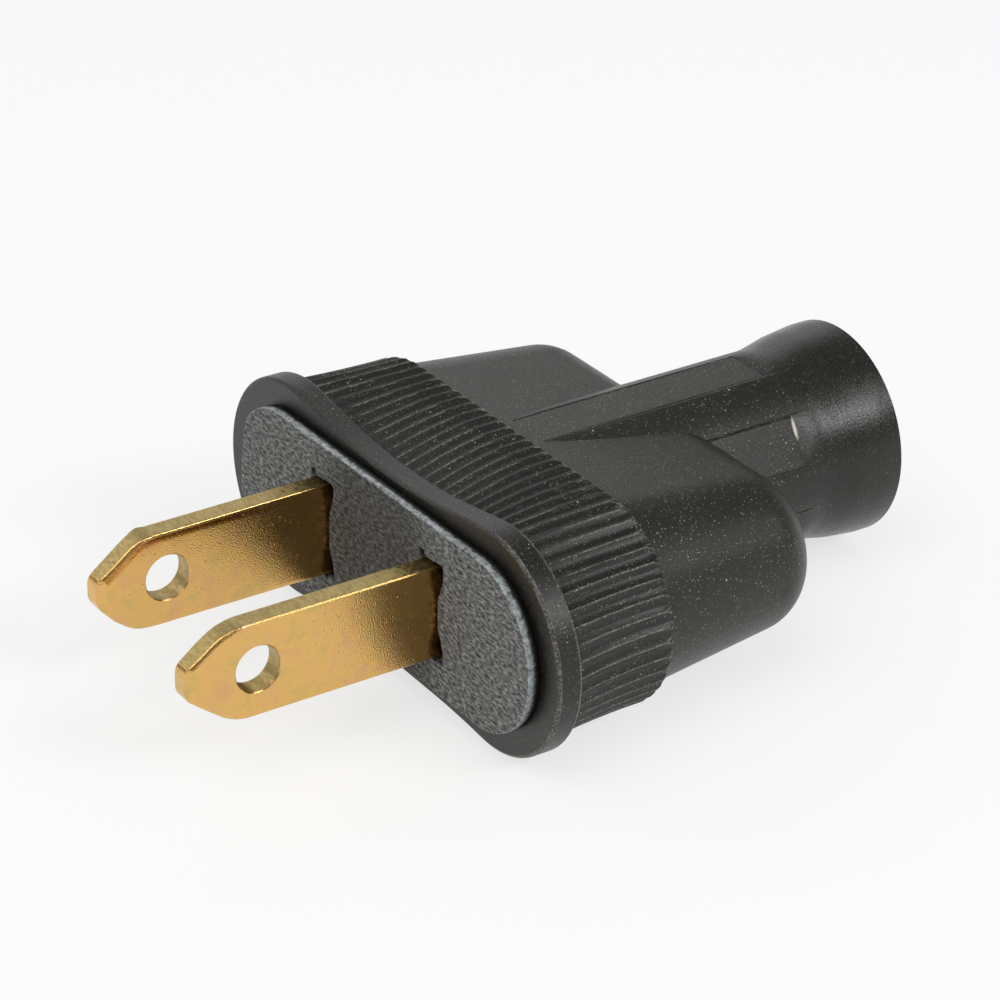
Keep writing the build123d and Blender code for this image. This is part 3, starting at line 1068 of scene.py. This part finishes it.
class PLUG_OT_studio(bpy.types.Operator):
    """Lays the white sweep and sets the soft lights and the camera"""

    bl_idname = "plug.studio"
    bl_label = "Studio"

    def execute(self, context):
        settings = context.scene.plug_studio
        scene = context.scene
        scene.view_settings.view_transform = "Standard"
        bpy.ops.object.select_all(action="DESELECT")
        bpy.ops.mesh.primitive_plane_add(size=FLOOR_SIZE, location=(0, 0, CAD_BOX[0][2]))
        floor = context.active_object
        floor.name = "paper_sweep"
        bpy.ops.object.transform_apply(location=True)
        floor.data.materials.append(studio_white(settings.paper, settings.shadow))

        # A pale room that darkens overhead, so that satin rubber shows its form.
        world = bpy.data.worlds.new("pale_room")
        scene.world = world
        world.use_nodes = True
        tree = world.node_tree
        tree.nodes.clear()
        way = add_node(tree, "TexCoord").outputs["Generated"]
        height = add_node(tree, "SeparateXYZ", links={0: way}).outputs["Z"]
        level = add_node(
            tree, "MapRange",
            {"From Min": 0.0, "From Max": 0.2, "To Min": 1.0, "To Max": 0.26},
            {"Value": height}, interpolation_type="SMOOTHSTEP",
        ).outputs[0]
        room = add_node(tree, "Background", {"Color": (1, 1, 1, 1)}, {"Strength": level})
        add_node(tree, "OutputWorld", links={"Surface": room.outputs[0]})

        # Soft boxes: degrees round from the plug's cord end and up, then distance, width and
        # height in metres, and level.
        for name, azimuth, elevation, away, wide, high, bright in (
            ("right_box", 66, 36, 0.6, 0.26, 0.13, 13.0),
            ("back_right_box", 43, 47, 0.6, 0.16, 0.16, 2.6),
            ("back_left_box", -68, 28, 0.6, 0.4, 0.3, 0.9),
            ("front_left_box", -116, 33, 0.6, 0.34, 0.26, 1.3),
            ("front_box", 150, 55, 0.7, 0.5, 0.5, 1.6),
            ("overhead_box", 180, 72, 0.7, 0.6, 0.6, 0.9),
        ):
            turn, tilt = math.radians(azimuth), math.radians(elevation)
            place = Vector((
                math.sin(turn) * math.cos(tilt), math.cos(turn) * math.cos(tilt), math.sin(tilt),
            )) * away
            bpy.ops.object.light_add(type="AREA", location=place)
            lamp = context.active_object
            lamp.name = name
            lamp.rotation_euler = place.to_track_quat("Z", "Y").to_euler()
            lamp.data.shape = "RECTANGLE"
            lamp.data.size = wide
            lamp.data.size_y = high
            lamp.data.energy = bright * math.pi * wide * high
            lamp.visible_camera = False

        turn, tilt, roll = map(math.radians, (VIEW_AZIMUTH, VIEW_ELEVATION, VIEW_ROLL))
        back = Vector((
            math.sin(turn) * math.cos(tilt), -math.cos(turn) * math.cos(tilt), math.sin(tilt),
        ))
        level_right = Vector((math.cos(turn), math.sin(turn), 0.0))
        level_up = back.cross(level_right)
        right = level_right * math.cos(roll) + level_up * math.sin(roll)
        up = level_up * math.cos(roll) - level_right * math.sin(roll)
        place = (back * VIEW_DISTANCE + right * VIEW_RIGHT + up * VIEW_UP) * MM
        bpy.ops.object.camera_add(location=place)
        camera = context.active_object
        camera.name = "studio_camera"
        turned = Matrix((right, up, back)).transposed().to_4x4()
        camera.matrix_world = Matrix.Translation(place) @ turned
        camera.data.sensor_width = VIEW_SENSOR
        camera.data.lens = VIEW_LENS
        camera.data.clip_start = 0.01
        camera.data.clip_end = 100.0
        scene.camera = camera
        return {"FINISHED"}


class PLUG_PT_sidebar(bpy.types.Panel):
    bl_idname = "PLUG_PT_sidebar"
    bl_label = "Rubber cord plug"
    bl_space_type = "VIEW_3D"
    bl_region_type = "UI"
    bl_category = "Plug"

    def draw(self, context):
        for operator in OPERATORS:
            self.layout.operator(operator.bl_idname)
        for group in SETTINGS:
            values = getattr(context.scene, group)
            box = self.layout.box()
            for name in values.__annotations__:
                box.prop(values, name)


SETTINGS = {
    "plug_rubber": RubberSettings,
    "plug_fibre": FibreSettings,
    "plug_brass": BrassSettings,
    "plug_studio": StudioSettings,
}
OPERATORS = (
    PLUG_OT_rubber_body,
    PLUG_OT_fibre_disc,
    PLUG_OT_brass_blades,
    PLUG_OT_terminal_screws,
    PLUG_OT_studio,
)


def register():
    for group in (*SETTINGS.values(), *OPERATORS, PLUG_PT_sidebar):
        bpy.utils.register_class(group)
    for name, group in SETTINGS.items():
        setattr(bpy.types.Scene, name, PointerProperty(type=group))


def unregister():
    for name in SETTINGS:
        delattr(bpy.types.Scene, name)
    for group in (PLUG_PT_sidebar, *OPERATORS, *SETTINGS.values()):
        bpy.utils.unregister_class(group)


def main():
    register()
    bpy.ops.plug.rubber_body()
    bpy.ops.plug.fibre_disc()
    bpy.ops.plug.brass_blades()
    bpy.ops.plug.terminal_screws()
    bpy.ops.plug.studio()


if __name__ == "__main__":
    main()
